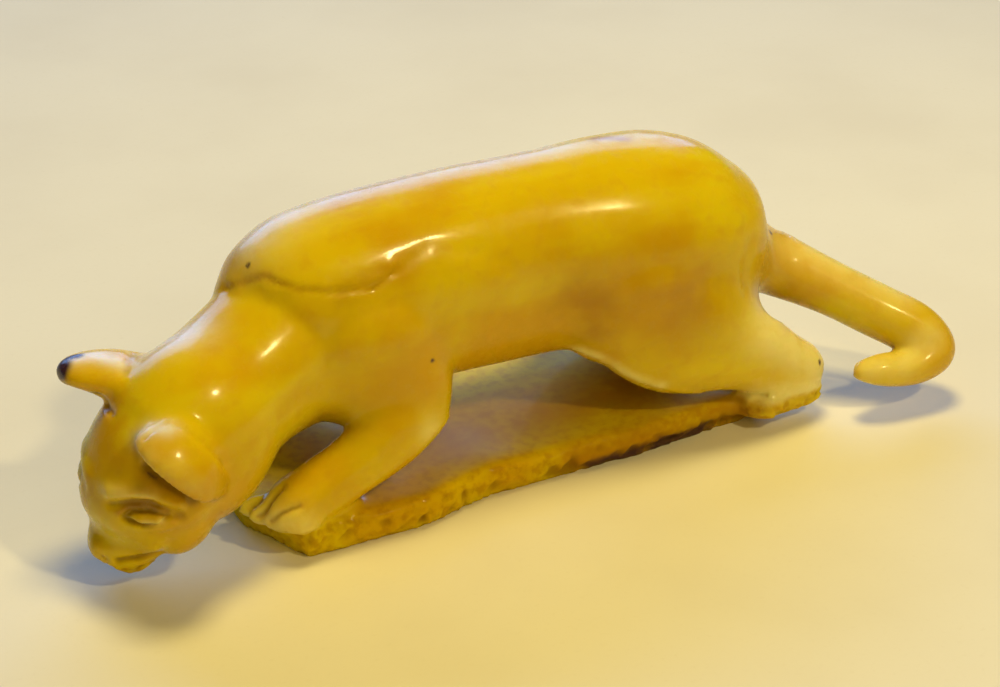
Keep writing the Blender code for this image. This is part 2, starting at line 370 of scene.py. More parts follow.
@dataclass(frozen=True)
class Head:
    """The head, in its own frame: x runs from the nape to the nose, y to its left, z to its crown."""

    place: Point = (-41.8, -7.0, 11.6)
    towards_nose: Point = (-0.70, -0.16, -0.70)
    towards_left: Point = (0.15, -0.966, -0.20)
    cranium: Limb = Limb(
        (
            Section(-9.0, 0.0, 0.4, 4.2, 4.4),
            Section(-6.2, 0.0, 0.5, 6.9, 7.0),
            Section(-1.0, 0.0, 0.0, 7.9, 7.4),
            Section(3.2, 0.0, -0.4, 7.2, 6.2),
            Section(6.2, 0.0, -1.6, 5.4, 4.4),
            Section(8.0, 0.0, -2.2, 3.6, 2.8),
        )
    )
    muzzle: Limb = Limb(
        (
            Section(2.0, 0.0, -2.2, 5.4, 5.0),
            Section(6.0, 0.0, -2.2, 4.6, 3.9),
            Section(9.4, 0.0, -2.3, 3.7, 3.1),
            Section(10.8, 0.0, -2.4, 2.4, 2.2),
        )
    )
    near_ear: Limb = Limb(
        (
            Section(-1.7, 3.1, 6.8, 1.2, 0.9),
            Section(-2.6, 4.1, 7.3, 2.5, 1.2),
            Section(-3.0, 5.9, 6.8, 3.2, 1.2),
            Section(-2.8, 7.6, 5.1, 3.3, 1.2),
            Section(-2.7, 8.3, 3.1, 3.2, 1.2),
            Section(-2.8, 7.9, 1.2, 2.9, 1.2),
            Section(-3.0, 7.0, -0.8, 2.4, 1.2),
        ),
        sway=Sway.FORWARD,
        tilt=-30.0,
    )
    far_ear: Limb = Limb(
        (
            Section(-7.0, -4.8, 2.4, 3.6, 2.2),
            Section(-5.8, -5.8, 5.2, 3.9, 2.2),
            Section(-4.2, -6.8, 7.8, 3.3, 2.0),
            Section(-2.8, -7.4, 9.8, 2.3, 1.6),
            Section(-2.3, -7.6, 10.6, 1.2, 0.9),
        )
    )
    lumps: tuple[Lump, ...] = (
        Lump((5.4, 3.4, 1.2), (1.6, 2.6, 1.2)),
        Lump((6.6, 4.0, -0.9), (1.0, 1.9, 0.9)),
        Lump((2.6, 4.2, -3.3), (4.2, 2.9, 3.1)),
    )

    def frame(self) -> Matrix:
        """Where the head's own frame lies."""
        nose = Vector(self.towards_nose).normalized()
        crown = nose.cross(Vector(self.towards_left)).normalized()
        left = crown.cross(nose)
        turn = Matrix((nose, left, crown)).transposed().to_4x4()
        return Matrix.Translation(self.place) @ turn

    def build(self, carving: bmesh.types.BMesh) -> None:
        """Add the head to the carving."""
        place = self.frame()
        for limb in (self.cranium, self.muzzle, self.near_ear, self.far_ear):
            limb.build(carving, place)
        for lump in self.lumps:
            lump.build(carving, place)
            lump.mirrored().build(carving, place)


@dataclass(frozen=True)
class Ground:
    """The strip of ground: wider under the forepaws, with rounded edges and a flat underside."""

    ahead: float = 32.2
    behind: float = 30.0
    front_width: float = 26.8
    waist_width: float = 22.4
    rear_width: float = 19.2
    thickness: float = 3.4
    edge_round: float = 1.4
    below: float = 0.5

    def outline(self) -> list[tuple[float, float]]:
        """The strip in plan, from its near front corner round by the rear."""
        front, waist, rear = (width / 2.0 for width in (self.front_width, self.waist_width, self.rear_width))
        corners = (
            (-0.88, -front),
            (-0.45, -front),
            (-0.20, -waist),
            (0.40, -waist),
            (0.92, -rear),
            (1.00, -rear * 0.60),
            (1.00, rear * 0.60),
            (0.90, rear),
            (0.20, waist),
            (-0.45, front * 0.94),
            (-0.86, front * 0.90),
            (-1.00, front * 0.40),
            (-1.00, -front * 0.34),
        )
        return [(along * (self.behind if along > 0.0 else self.ahead), aside) for along, aside in corners]

    def build(self, carving: bmesh.types.BMesh) -> None:
        """Raise the strip from its outline and round its edges."""
        corners = [carving.verts.new((x, y, -self.below)) for x, y in self.outline()]
        floor = carving.faces.new(reversed(corners))
        floor_edges = list(floor.edges)
        raised = bmesh.ops.extrude_face_region(carving, geom=[floor], use_keep_orig=True)["geom"]
        top = [item for item in raised if isinstance(item, bmesh.types.BMVert)]
        bmesh.ops.translate(carving, verts=top, vec=(0.0, 0.0, self.thickness + self.below))
        rims = floor_edges + [item for item in raised if isinstance(item, bmesh.types.BMEdge)]
        bmesh.ops.bevel(
            carving,
            geom=rims,
            offset=self.edge_round,
            segments=4,
            profile=0.5,
            affect="EDGES",
            material=-1,
        )


@dataclass(frozen=True)
class Mark:
    """A place or a line on the skin: cut in, raised or coloured, fading over its width."""

    points: tuple[Point, ...]
    width: float
    height: float
    closed: bool = False
    spacing: float = 0.22

    def mirrored(self, share: float = 1.0) -> Mark:
        """The same mark on the other side, at a share of its height."""
        return replace(self, points=tuple((x, -y, z) for x, y, z in self.points), height=self.height * share)

    def placed(self, place: Matrix) -> Mark:
        """The same mark moved out of the frame it is given in."""
        return replace(self, points=tuple(tuple(place @ Vector(point)) for point in self.points))

    def samples(self) -> np.ndarray:
        """Places along the mark, close together."""
        corners = [np.array(point) for point in self.points]
        if self.closed:
            corners.append(corners[0])
        found = [corners[0]]
        for start, end in zip(corners, corners[1:]):
            count = max(1, math.ceil(float(np.linalg.norm(end - start)) / self.spacing))
            found.extend(start + (end - start) * (step / count) for step in range(1, count + 1))
        return np.array(found)


@dataclass(frozen=True)
class Rub:
    """A stretch of skin rubbed smooth: its line, its reach and how often it is rubbed."""

    points: tuple[Point, ...]
    reach: float
    rounds: int
    both_sides: bool = False
    spacing: float = 1.5

    def lines(self) -> list[Mark]:
        """The line, and the one on the other side where both are rubbed."""
        line = Mark(self.points, self.reach, 0.0, spacing=self.spacing)
        return [line, line.mirrored()] if self.both_sides else [line]


def smooth_over(skin: bmesh.types.BMesh, points: list[bmesh.types.BMVert], rounds: int) -> None:
    """Rub points of the skin smooth.

    Args:
        skin: the mesh.
        points: which of its points.
        rounds: how often.
    """
    for _ in range(rounds):
        bmesh.ops.smooth_vert(skin, verts=points, factor=0.5, use_axis_x=True, use_axis_y=True, use_axis_z=True)


@dataclass(frozen=True)
class Skin:
    """How the overlapping forms become one smooth skin."""

    grain: float = 0.46
    polish: float = 0.5
    rounds: int = 9
    softened: int = 2
    rubbed: tuple[Rub, ...] = (
        Rub(((5.0, -9.2, 15.0), (12.0, -10.8, 15.0), (20.0, -10.8, 15.5), (26.0, -9.5, 15.5)), 4.4, 60, True),
        Rub(((-21.0, -9.0, 16.5), (-15.0, -10.4, 16.0), (-9.0, -9.3, 15.0)), 4.4, 50, True),
        Rub(
            ((29.4, -5.9, 13.8), (31.0, -4.8, 16.5), (31.6, -3.0, 18.9), (31.4, 0.0, 20.3), (30.6, 3.4, 18.8)),
            4.4,
            110,
        ),
        Rub(((-24.0, -7.4, 27.2), (-17.9, -8.3, 26.6), (-13.5, -7.4, 28.2)), 2.2, 16, spacing=1.0),
    )

    def close_over(self, name: str, carving: bmesh.types.BMesh, fine_at: list[list[Mark]]) -> bpy.types.Mesh:
        """Make the forms one skin.

        Args:
            name: what to call the mesh.
            carving: the overlapping forms, freed here.
            fine_at: where the skin is made finer for the small carving, one list for each time.

        Returns:
            The one smooth, closed mesh.
        """
        bmesh.ops.recalc_face_normals(carving, faces=carving.faces)
        rough = bpy.data.meshes.new(name + "_forms")
        carving.to_mesh(rough)
        carving.free()
        held = bpy.data.objects.new(name + "_forms", rough)
        bpy.context.scene.collection.objects.link(held)
        remesh = held.modifiers.new("one_skin", "REMESH")
        remesh.mode = "VOXEL"
        remesh.voxel_size = self.grain
        smooth = held.modifiers.new("polish", "SMOOTH")
        smooth.factor = self.polish
        smooth.iterations = self.rounds
        seen = held.evaluated_get(bpy.context.evaluated_depsgraph_get())
        mesh = bpy.data.meshes.new_from_object(seen)
        bpy.data.objects.remove(held, do_unlink=True)
        bpy.data.meshes.remove(rough)
        mesh.name = name
        self.soften(mesh)
        for places in fine_at:
            self.refine(mesh, places)
        return mesh

    def soften(self, mesh: bpy.types.Mesh) -> None:
        """Rub down the creases where legs and tail grow out of the trunk, and along the crack.

        Args:
            mesh: the skin.
        """
        skin = bmesh.new()
        skin.from_mesh(mesh)
        for stretch in self.rubbed:
            for line in stretch.lines():
                places = [Vector(place) for place in line.samples()]
                near = [
                    point
                    for point in skin.verts
                    if any((point.co - place).length < stretch.reach for place in places)
                ]
                smooth_over(skin, near, stretch.rounds)
        skin.to_mesh(mesh)
        skin.free()

    def refine(self, mesh: bpy.types.Mesh, fine_at: list[Mark]) -> None:
        """Halve the skin's faces near the marks.

        Args:
            mesh: the skin.
            fine_at: the places, each reaching as far as its width.
        """
        skin = bmesh.new()
        skin.from_mesh(mesh)
        near = [(Vector(place), mark.width) for mark in fine_at for place in mark.points]
        edges = [
            edge
            for edge in skin.edges
            if any((edge.verts[0].co - place).length < reach for place, reach in near)
        ]
        made = bmesh.ops.subdivide_edges(skin, edges=edges, cuts=1, use_grid_fill=True)["geom_inner"]
        points = [item for item in made if isinstance(item, bmesh.types.BMVert)]
        smooth_over(skin, points, self.softened)
        skin.to_mesh(mesh)
        skin.free()


@dataclass(frozen=True)
class Roughness:
    """How wide and how high the skin's bumps are; pitted ones are sharp pits that only go in."""

    size: float
    height: float
    pitted: bool = False
    rim: float = 0.25
    steepness: float = 3.0

    def at(self, place: Vector) -> float:
        """How far the skin is moved at a place."""
        value = noise.noise(place / self.size)
        if self.pitted:
            value = min(0.0, self.rim - abs(value) * self.steepness)
        return value * self.height


@dataclass(frozen=True)
class Fade:
    """A stretch of values, full at one end and nothing at the other."""

    full: float
    none: float

    def over(self, values: np.ndarray) -> np.ndarray:
        """1 where values are at full or past it, fading to 0 where they are at none."""
        return np.clip((self.none - values) / (self.none - self.full), 0.0, 1.0)


class Carver:
    """Carves low relief into a mesh and notes where it is cut, thin, discoloured and given painted light and shade.
    """

    def __init__(self, mesh: bpy.types.Mesh) -> None:
        """Read the mesh's points.

        Args:
            mesh: the skin to carve.
        """
        self.mesh = mesh
        self.points = np.empty(len(mesh.vertices) * 3)
        mesh.vertices.foreach_get("co", self.points)
        self.points = self.points.reshape(-1, 3)
        self.normals = np.empty((0, 3))
        self.cut = np.zeros(len(self.points))
        self.look_again()

    def look_again(self) -> None:
        """Write the moved points back and read the normals anew."""
        self.mesh.vertices.foreach_set("co", self.points.ravel())
        self.mesh.update()
        normals = np.empty(len(self.mesh.vertices) * 3)
        self.mesh.vertices.foreach_get("normal", normals)
        self.normals = normals.reshape(-1, 3)

    def closeness(self, mark: Mark) -> np.ndarray:
        """How near every point is to a mark.

        Args:
            mark: the mark, first drawn onto the skin.

        Returns:
            For each point 1 on the mark, fading to 0 over its width.
        """
        squared = np.full(len(self.points), np.inf)
        for place in mark.samples():
            nearest = np.argmin(((self.points - place) ** 2).sum(axis=1))
            normal = self.normals[nearest]
            drawn = place - normal * float((place - self.points[nearest]) @ normal)
            squared = np.minimum(squared, ((self.points - drawn) ** 2).sum(axis=1))
        return np.exp(-squared / mark.width**2)

    def carve(self, marks: list[Mark]) -> None:
        """Cut or raise the marks.

        Args:
            marks: what to carve, each by its height.
        """
        for mark in marks:
            self.raise_by(self.closeness(mark) * mark.height)

    def stained_and_lit(self, marks: list[Mark]) -> np.ndarray:
        """How strongly every point takes the marks, real discolouring and painted light and shade alike.

        Args:
            marks: the stains, each as strong as its height.

        Returns:
            A strength from 0 to 1 for each point.
        """
        strength = np.zeros(len(self.points))
        for mark in marks:
            strength = np.maximum(strength, self.closeness(mark) * mark.height)
        return strength

    def raise_by(self, heights: np.ndarray) -> None:
        """Move every point along its normal.

        Args:
            heights: how far, one for each point, below zero to cut in.
        """
        self.points += self.normals * heights[:, None]
        self.cut += heights
        self.look_again()

    def roughen(self, where: np.ndarray, bumps: Roughness, faint: float = 0.01) -> None:
        """Make the skin uneven.

        Args:
            where: how strongly, from 0 to 1, for each point.
            bumps: the bumps' size and height.
            faint: the strength up to which a point is left alone.
        """
        heights = np.zeros(len(self.points))
        for index in np.flatnonzero(where > faint):
            heights[index] = bumps.at(Vector(self.points[index])) * where[index]
        self.raise_by(heights)

    def flatten_below(self, level: float) -> None:
        """Rub the underside flat.

        Args:
            level: the height that nothing goes below.
        """
        self.points[:, 2] = np.maximum(self.points[:, 2], level)
        self.look_again()

    def thinness(self, thick: float, slant: float = 0.5, counted: int = 3, blur: int = 6) -> np.ndarray:
        """How thin the carving is under every point.

        Args:
            thick: the thickness from which it counts as solid.
            slant: how far the looks to each side lean away from straight in.
            counted: how many of the shortest looks count.
            blur: how often the result is blurred.

        Returns:
            For each point 0 where solid, rising to 1 where thinnest.
        """
        faces = [polygon.vertices[:] for polygon in self.mesh.polygons]
        tree = BVHTree.FromPolygons(self.points.tolist(), faces)
        found = np.zeros(len(self.points))
        sides = ((1, 0, 0), (-1, 0, 0), (0, 1, 0), (0, -1, 0), (0, 0, 1), (0, 0, -1))
        leans = [Vector(side) * slant for side in sides]
        under_skin = 0.05
        for index, (point, normal) in enumerate(zip(self.points.tolist(), self.normals.tolist())):
            inward = -Vector(normal)
            start = Vector(point) + inward * under_skin
            depths = []
            for lean in leans:
                distance = tree.ray_cast(start, (inward + lean).normalized(), thick)[3]
                depths.append(thick if distance is None else distance)
            found[index] = 1.0 - sum(sorted(depths)[:counted]) / (counted * thick)
        return self.spread(found, blur)

    def spread(self, values: np.ndarray, rounds: int) -> np.ndarray:
        """Blur values over the skin.

        Args:
            values: one for each point.
            rounds: how often each is averaged with its neighbours.

        Returns:
            The blurred values.
        """
        ends = np.empty(len(self.mesh.edges) * 2, dtype=np.int64)
        self.mesh.edges.foreach_get("vertices", ends)
        first, second = ends.reshape(-1, 2).T
        count = np.ones(len(values))
        np.add.at(count, first, 1.0)
        np.add.at(count, second, 1.0)
        for _ in range(rounds):
            total = values.copy()
            np.add.at(total, first, values[second])
            np.add.at(total, second, values[first])
            values = total / count
        return values

    def note(self, name: str, values: np.ndarray) -> None:
        """Store values on the mesh for the material to read.

        Args:
            name: the attribute's name.
            values: one for each point.
        """
        attribute = self.mesh.attributes.new(name, "FLOAT", "POINT")
        attribute.data.foreach_set("value", np.clip(values, 0.0, 1.0))


@dataclass(frozen=True)
class Relief:
    """The small carving: eyes, brows, mouth, nose, ears, toes, cracks and creases."""

    face: tuple[Mark, ...] = (
        Mark(((4.4, 2.0, 5.7), (3.2, 4.1, 5.4), (2.2, 5.9, 4.4), (1.6, 7.3, 2.3)), 0.9, 0.45),
        Mark(((4.8, 5.3, 3.1),), 1.9, -0.7),
        Mark(((5.4, 2.2, 4.9), (4.3, 4.0, 4.7), (3.2, 5.6, 3.9), (2.5, 7.1, 2.0), (2.5, 7.3, 0.6)), 0.55, -0.4),
        Mark(((4.9, 5.2, 3.1), (4.1, 6.2, 2.4)), 1.0, 0.75),
        Mark(
            (
                (5.9, 3.7, 3.8),
                (4.9, 4.3, 4.2),
                (3.8, 5.6, 3.6),
                (3.1, 6.9, 2.0),
                (4.5, 6.7, 1.8),
                (5.7, 5.4, 2.5),
            ),
            0.34,
            -0.45,
            closed=True,
        ),
        Mark(((5.9, 4.6, 2.4), (4.6, 6.6, 1.2), (3.2, 7.4, 0.6)), 0.5, 0.2),
        Mark(
            ((10.0, 2.5, -0.5), (9.5, 3.1, -0.7), (8.8, 3.7, -1.2), (7.7, 4.2, -2.2), (7.0, 4.5, -2.9)),
            0.4,
            -0.5,
        ),
        Mark(((10.4, 1.1, -0.2),), 0.4, -0.4),
    )
    far_share: float = 0.6
    nose: tuple[Mark, ...] = (
        Mark(((10.0, 0.0, 0.6),), 1.3, 0.4),
        Mark(((10.8, 0.0, -0.8), (11.4, 0.0, -1.8)), 0.4, -0.35),
    )
    ears: tuple[Mark, ...] = (
        Mark(((-4.9, 5.4, 6.8), (-5.0, 7.4, 5.2), (-4.7, 8.2, 3.4), (-4.0, 8.4, 1.0)), 0.5, -0.25),
        Mark(((0.2, 4.6, 5.9), (0.4, 6.4, 4.4), (0.3, 7.4, 2.6), (0.4, 7.8, 1.0)), 0.9, -0.7),
        Mark(((0.3, 4.9, 6.7),), 0.6, -0.7),
        Mark(((-0.1, 4.6, 8.6), (0.3, 6.6, 8.0), (0.5, 8.6, 6.0), (0.5, 9.6, 3.8), (0.2, 9.4, 1.6)), 0.5, 0.2),
        Mark(((-0.2, 3.6, 8.0), (-4.2, 3.7, 7.2)), 0.3, -0.18),
        Mark(((-0.2, 4.6, 8.3), (-4.6, 4.8, 7.7)), 0.3, -0.18),
        Mark(((-1.8, -6.6, 8.6),), 1.6, -0.9),
        Mark(((-2.5, -4.4, 8.1), (-2.3, -4.1, 6.9), (-2.2, -2.1, 7.3)), 0.4, -0.4),
        Mark(((-5.8, -3.6, 6.8), (-7.4, -6.5, 4.3)), 0.5, -0.35),
    )
    crack: Mark = Mark(
        (
            (-31.1, 0.2, 25.5),
            (-29.5, -2.3, 27.1),
            (-28.1, -3.6, 28.1),
            (-26.9, -5.2, 27.8),
            (-25.3, -6.5, 27.3),
            (-21.5, -7.9, 26.8),
            (-17.9, -8.3, 26.6),
            (-15.4, -7.8, 27.8),
        ),
        0.30,
        -0.2,
    )
    shoulder: Mark = Mark(
        ((-15.4, -7.8, 27.8), (-11.2, -7.1, 29.1), (-5.9, -7.8, 27.9), (-3.4, -8.5, 26.2), (-1.3, -9.0, 23.9)),
        0.9,
        -0.1,
    )
    tail_root: Mark = Mark(((25.8, -8.9, 21.7), (24.9, -9.5, 19.7), (24.7, -10.1, 17.0)), 0.7, -0.2)
    thigh: Mark = Mark(
        ((6.5, -6.6, 13.4), (8.4, -7.6, 12.2), (10.8, -8.9, 9.8), (14.4, -10.3, 8.0), (19.5, -10.2, 5.7)),
        0.6,
        0.15,
    )

    def on_head(self, place: Matrix) -> list[Mark]:
        """The head's marks, both sides of the face.

        Args:
            place: the head's frame.

        Returns:
            The marks where they lie on the figurine.
        """
        both = [side for mark in self.face for side in (mark, mark.mirrored(self.far_share))]
        return [mark.placed(place) for mark in (*both, *self.nose, *self.ears)]

    def on_body(self) -> list[Mark]:
        """The marks on trunk, tail and legs."""
        sides = [side for mark in (self.tail_root, self.thigh) for side in (mark, mark.mirrored())]
        return [self.crack, self.shoulder, *sides]


@dataclass(frozen=True)
class StainsAndPaintedLight:
    """Where the bone is pale, brown or black, real discolouring together with painted reflections, painted
    highlights and painted shade; the head's marks are in the head's frame.
    """

    pale: tuple[Mark, ...] = (
        Mark(((-31.9, -11.0, 4.5), (-29.2, -13.8, 4.5)), 2.0, 0.5),
        Mark(((33.0, -11.0, 4.0), (27.0, -11.5, 3.0)), 2.6, 0.8),
        Mark(((26.0, -10.5, 11.5), (29.5, -11.5, 9.5), (33.0, -11.8, 6.5)), 3.0, 0.85),
        Mark(((29.0, -3.0, 19.0), (34.0, -3.5, 17.0)), 3.0, 0.3),
        Mark(((36.0, -4.0, 16.4), (40.0, -7.0, 14.5), (44.0, -10.4, 12.0)), 2.7, 0.65),
        Mark(((46.0, -14.5, 8.0), (42.0, -15.8, 6.5), (38.0, -15.2, 6.8)), 1.8, 0.6),
        Mark(((6.5, -6.6, 13.4), (8.4, -7.6, 12.2), (10.8, -8.9, 9.8), (14.4, -10.3, 8.0)), 0.7, 0.8),
        Mark(((-14.0, -11.8, 11.0),), 1.5, 0.5),
    )
    # painted reflections of the window: a bluish-white sheen on the neck, along the back's ridge and on the hind
    # leg's rear edge
    painted_reflection: tuple[Mark, ...] = (
        Mark(((-38.5, -3.0, 21.5), (-35.5, -3.5, 23.0)), 2.4, 0.75),
        Mark(((-27.0, 1.0, 30.5), (-22.0, 3.0, 32.0), (-10.0, 4.0, 33.0), (6.0, 4.5, 33.0)), 3.2, 0.6),
        Mark(((26.8, -8.8, 14.6), (29.5, -9.0, 11.8), (32.2, -9.2, 9.2)), 1.7, 0.95),
    )
    # painted reflections of the window along the top rims of both ears
    painted_reflection_on_head: tuple[Mark, ...] = (
        Mark(((-1.7, 3.2, 7.7), (-3.2, 4.2, 8.0), (-4.4, 5.4, 7.9)), 1.05, 1.0),
        Mark(((-6.8, -4.8, 7.6), (-6.2, -6.6, 9.4), (-4.8, -7.8, 10.8)), 1.0, 1.0),
    )
    # painted highlights: the lit lower rim of the eye and the lit ledge of the brow
    painted_highlights_on_head: tuple[Mark, ...] = (
        Mark(((5.2, 5.6, 2.4), (4.0, 6.6, 2.0)), 0.45, 0.6),
        Mark(((4.7, 0.8, 5.6), (4.1, 2.3, 5.8), (3.2, 4.1, 5.4), (2.2, 5.9, 4.4)), 0.7, 0.35),
    )
    brown: tuple[Mark, ...] = (
        Mark(((5.1, -9.2, 20.0), (7.0, -9.4, 17.0)), 3.6, 0.85),
        Mark(((14.0, -10.6, 18.5), (18.5, -11.0, 17.5)), 5.0, 0.55),
        Mark(((12.4, 1.7, 32.5), (15.3, 0.3, 32.5)), 0.8, 1.0),
        # painted contact shadow mixed with real dirt along the strip's near side, towards the rear
        Mark(((4.0, -11.0, 1.2), (14.0, -10.6, 1.4), (26.0, -9.8, 1.6)), 3.0, 1.0),
        # painted shadow of the body on the strip's top under the belly
        Mark(((-10.0, -3.0, 3.4), (4.0, -3.0, 3.4), (18.0, -3.0, 3.4)), 6.0, 0.9),
        Mark(((-31.1, 0.2, 25.5), (-28.1, -3.6, 28.1), (-25.3, -6.5, 27.3), (-17.9, -8.3, 26.6)), 0.5, 0.5),
        Mark(((-21.5, -7.9, 26.8), (-15.4, -7.8, 27.8), (-11.2, -7.1, 29.1)), 1.6, 0.45),
        Mark(((-22.0, -9.0, 13.5), (-26.0, -8.0, 12.0)), 3.0, 0.4),
    )
    # painted shade: by the near ear, at the eye's outer corner, under the brow along the eye's upper rim and in the
    # channel between ear and face
    painted_shade_on_head: tuple[Mark, ...] = (
        Mark(((-1.0, 8.8, 3.6),), 2.0, 0.5),
        Mark(((2.7, 7.4, 0.4),), 1.4, 0.6),
        Mark(((5.6, 3.2, 4.2), (4.4, 4.3, 4.5), (3.3, 5.7, 3.8), (2.8, 6.8, 2.3)), 0.5, 0.95),
        Mark(((0.4, 5.6, 5.0), (0.4, 7.4, 2.6)), 1.2, 0.7),
    )
    black: tuple[Mark, ...] = (
        Mark(((-28.8, -1.5, 28.6),), 0.35, 0.9),
        Mark(((-12.6, -10.7, 18.1),), 0.3, 0.8),
        Mark(((32.1, -2.9, 18.9),), 0.35, 0.9),
        Mark(((33.7, -11.9, 6.7),), 0.4, 0.8),
        # painted contact shadow along the strip's near lower edge, towards the rear
        Mark(((6.0, -11.0, 0.4), (21.0, -10.2, 0.5)), 1.3, 0.55),
    )
    black_on_head: tuple[Mark, ...] = (
        Mark(((-2.8, -8.2, 11.0),), 1.5, 1.0),
        Mark(((-4.2, -8.6, 10.4), (-5.2, -8.0, 10.0)), 0.8, 0.7),
        # painted shade in the hollow under the near ear's front edge
        Mark(((0.3, 5.0, 6.0), (0.4, 5.7, 5.2)), 0.3, 0.45),
    )
    thick: float = 7.0
    # painted shade in the carved cuts: the deeper the cut, the darker
    recess_shade_from: float = 0.12
    recess_shade_strength: float = 2.2
    strip: Fade = Fade(-0.3, 0.5)


@dataclass(frozen=True)
class Wear:
    """How uneven, crumbled and cut back the skin is; the edge's heights are from the strip's top."""

    hand_work: Roughness = Roughness(6.0, 0.08)
    crumbs: Roughness = Roughness(1.1, 0.16)
    crumbs_reach: float = 1.1
    crumbs_spacing: float = 0.5
    pits: Roughness = Roughness(1.3, 0.28, pitted=True)
    grit: Roughness = Roughness(0.55, 0.25)
    edge: Fade = Fade(-0.4, 0.1)
    edge_upright: Fade = Fade(0.27, 1.04)
    edge_blur: int = 2
    foot: Fade = Fade(0.4, 1.7)
    foot_behind: Fade = Fade(17.0, -8.0)
    foot_upright: Fade = Fade(0.143, 0.857)
    foot_cut: float = 0.8

    def wear_down(self, carver: Carver, crack: Mark, top: float) -> None:
        """Roughen the skin, crumble the crack and the strip's edge, and cut its foot back.

        Args:
            carver: the carver at work on the skin.
            crack: the crack that crumbles.
            top: the height of the strip's top.
        """
        carver.roughen(np.ones(len(carver.points)), self.hand_work)
        crumbled = replace(crack, width=self.crumbs_reach, spacing=self.crumbs_spacing)
        carver.roughen(carver.closeness(crumbled), self.crumbs)
        edge = self.edge.over(carver.points[:, 2] - top) * self.edge_upright.over(np.abs(carver.normals[:, 2]))
        edge = carver.spread(edge, self.edge_blur)
        carver.roughen(edge, self.pits)
        carver.roughen(edge, self.grit)
        foot = self.foot.over(carver.points[:, 2]) * self.foot_behind.over(carver.points[:, 0])
        carver.raise_by(-self.foot_cut * foot * self.foot_upright.over(np.abs(carver.normals[:, 2])))
        carver.flatten_below(0.0)


@dataclass
class Carving:
    """The whole figurine: one piece of bone."""

    body: Body = field(default_factory=Body)
    legs: Legs = field(default_factory=Legs)
    head: Head = field(default_factory=Head)
    ground: Ground = field(default_factory=Ground)
    skin: Skin = field(default_factory=Skin)
    relief: Relief = field(default_factory=Relief)
    stains_and_light: StainsAndPaintedLight = field(default_factory=StainsAndPaintedLight)
    wear: Wear = field(default_factory=Wear)
    name: str = "cat_carving"

    def build(self) -> bpy.types.Object:
        """Model the figurine.

        Returns:
            The finished object, in metres, riding on the root.
        """
        forms = bmesh.new()
        self.body.build(forms)
        self.legs.build(forms)
        self.head.build(forms)
        self.ground.build(forms)
        mesh = self.skin.close_over(self.name, forms, self.fine_places())
        carver = Carver(mesh)
        self.carve(carver)
        self.paint_stains_and_light(carver)
        mesh.transform(Matrix.Scale(UNIT, 4))
        mesh.polygons.foreach_set("use_smooth", [True] * len(mesh.polygons))
        made = bpy.data.objects.new(self.name, mesh)
        bpy.context.scene.collection.objects.link(made)
        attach(made, ROOT)
        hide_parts(NODE)
        return made

    def fine_places(self) -> list[list[Mark]]:
        """Where the small carving needs a finer skin: face, near ear and forepaw, then the eye again."""
        head = self.head.frame()
        face = Mark(((4.4, 4.8, 3.4), (3.2, 6.4, 2.4), (4.6, 1.8, 5.0)), 2.6, 0.0)
        eye = Mark(((5.0, 4.6, 3.2), (3.8, 6.3, 2.4)), 1.3, 0.0)
        muzzle = Mark(((9.6, 2.6, -0.8), (8.0, 4.0, -2.0)), 2.2, 0.0)
        ear = Mark(((-1.0, 4.4, 7.6), (-0.6, 6.6, 6.4), (-0.4, 8.2, 3.6)), 2.4, 0.0)
        toes = Mark(((-31.0, -12.6, 4.8),), 3.2, 0.0)
        return [
            [face.placed(head), muzzle.placed(head), ear.placed(head), toes],
            [eye.placed(head)],
        ]

    def carve(self, carver: Carver) -> None:
        """Carve the relief, the crumbling edge and the hand-worked unevenness.

        Args:
            carver: the carver at work on the skin.
        """
        carver.carve(self.relief.on_head(self.head.frame()))
        carver.carve(self.relief.on_body())
        carver.carve(self.legs.toe_gaps())
        self.wear.wear_down(carver, self.relief.crack, self.ground.thickness)

    def paint_stains_and_light(self, carver: Carver) -> None:
        """Note the discolouring, the painted reflections, highlights and shade, the thin places and the cuts, which
        the material paints as shade.

        Args:
            carver: the carver that carved the skin.
        """
        head = self.head.frame()
        for name, own, on_head in (
            ("pale", self.stains_and_light.pale, self.stains_and_light.painted_highlights_on_head),
            ("brown", self.stains_and_light.brown, self.stains_and_light.painted_shade_on_head),
            ("black", self.stains_and_light.black, self.stains_and_light.black_on_head),
            ("painted_reflection", self.stains_and_light.painted_reflection, self.stains_and_light.painted_reflection_on_head),
        ):
            carver.note(name, carver.stained_and_lit([*own, *(mark.placed(head) for mark in on_head)]))
        # thin places, which the material paints paler as a painted glow of light through the bone
        carver.note("thin", carver.thinness(self.stains_and_light.thick))
        # how deep each point is cut, kept for the painted shade in the cuts
        cut = np.maximum(-carver.cut - self.stains_and_light.recess_shade_from, 0.0) * self.stains_and_light.recess_shade_strength
        carver.note("cut", carver.spread(cut, 1))
        carver.note("strip", self.stains_and_light.strip.over(carver.points[:, 2] - self.ground.thickness))


@dataclass(frozen=True)
class Grain:
    """Noise: its lumps a metre, its finer layers and how much closer the lumps lie along each axis."""

    scale: float
    detail: float = 3.0
    stretch: Point = (1.0, 1.0, 1.0)


@dataclass(frozen=True)
class Patches:
    """How noise breaks up a coloured mark: its grain, the range it rises over and its least strength."""

    grain: Grain
    rise: tuple[float, float]
    least: float


